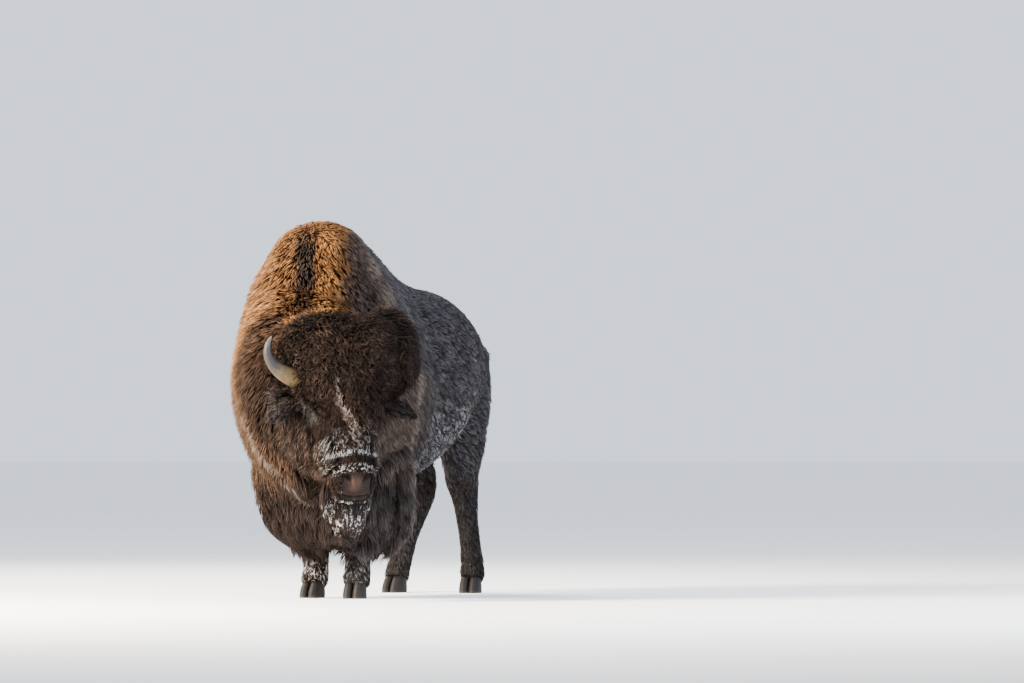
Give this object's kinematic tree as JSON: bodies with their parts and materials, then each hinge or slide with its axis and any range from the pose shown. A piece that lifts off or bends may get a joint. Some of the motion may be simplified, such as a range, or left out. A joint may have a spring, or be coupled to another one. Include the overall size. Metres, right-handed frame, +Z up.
{
  "type": "standing bison bull",
  "caption": "Life-size bison bull in shaggy winter coat, standing square with its head lowered and turned to its left.",
  "frame": {"origin": "on the floor under the centre of the whole model's box", "axes": "+Z up; the bull's body faces -Y and +X is its left side"},
  "size_m": [1.0702, 2.6846, 1.891],
  "materials": {
    "brown_coat": "long shaggy hair, warm brown on the hump",
    "dark_coat": "dark brown hair",
    "head_coat": "dense curled dark hair",
    "horn": "grey horn, ochre at the base",
    "hoof": "worn black horn",
    "eye": "wet dark brown"
  },
  "bodies": {
    "root": {"trunk": "brown_coat", "neck": "brown_coat", "head": "head_coat", "foreleg_left": "dark_coat", "foreshank_left": "dark_coat", "thigh_left": "dark_coat", "hindshank_left": "dark_coat", "foreleg_right": "dark_coat", "foreshank_right": "dark_coat", "thigh_right": "dark_coat", "hindshank_right": "dark_coat", "tail": "dark_coat", "tail_tuft": "dark_coat", "horn_left": "horn", "eye_left": "eye", "ear_left": "head_coat", "horn_right": "horn", "eye_right": "eye", "ear_right": "head_coat", "hoof_front_left_outer": "hoof", "dewclaw_front_left_outer": "hoof", "hoof_front_left_inner": "hoof", "dewclaw_front_left_inner": "hoof", "hoof_front_right_outer": "hoof", "dewclaw_front_right_outer": "hoof", "hoof_front_right_inner": "hoof", "dewclaw_front_right_inner": "hoof", "hoof_hind_left_outer": "hoof", "dewclaw_hind_left_outer": "hoof", "hoof_hind_left_inner": "hoof", "dewclaw_hind_left_inner": "hoof", "hoof_hind_right_outer": "hoof", "dewclaw_hind_right_outer": "hoof", "hoof_hind_right_inner": "hoof", "dewclaw_hind_right_inner": "hoof"}
  },
  "joints": []
}
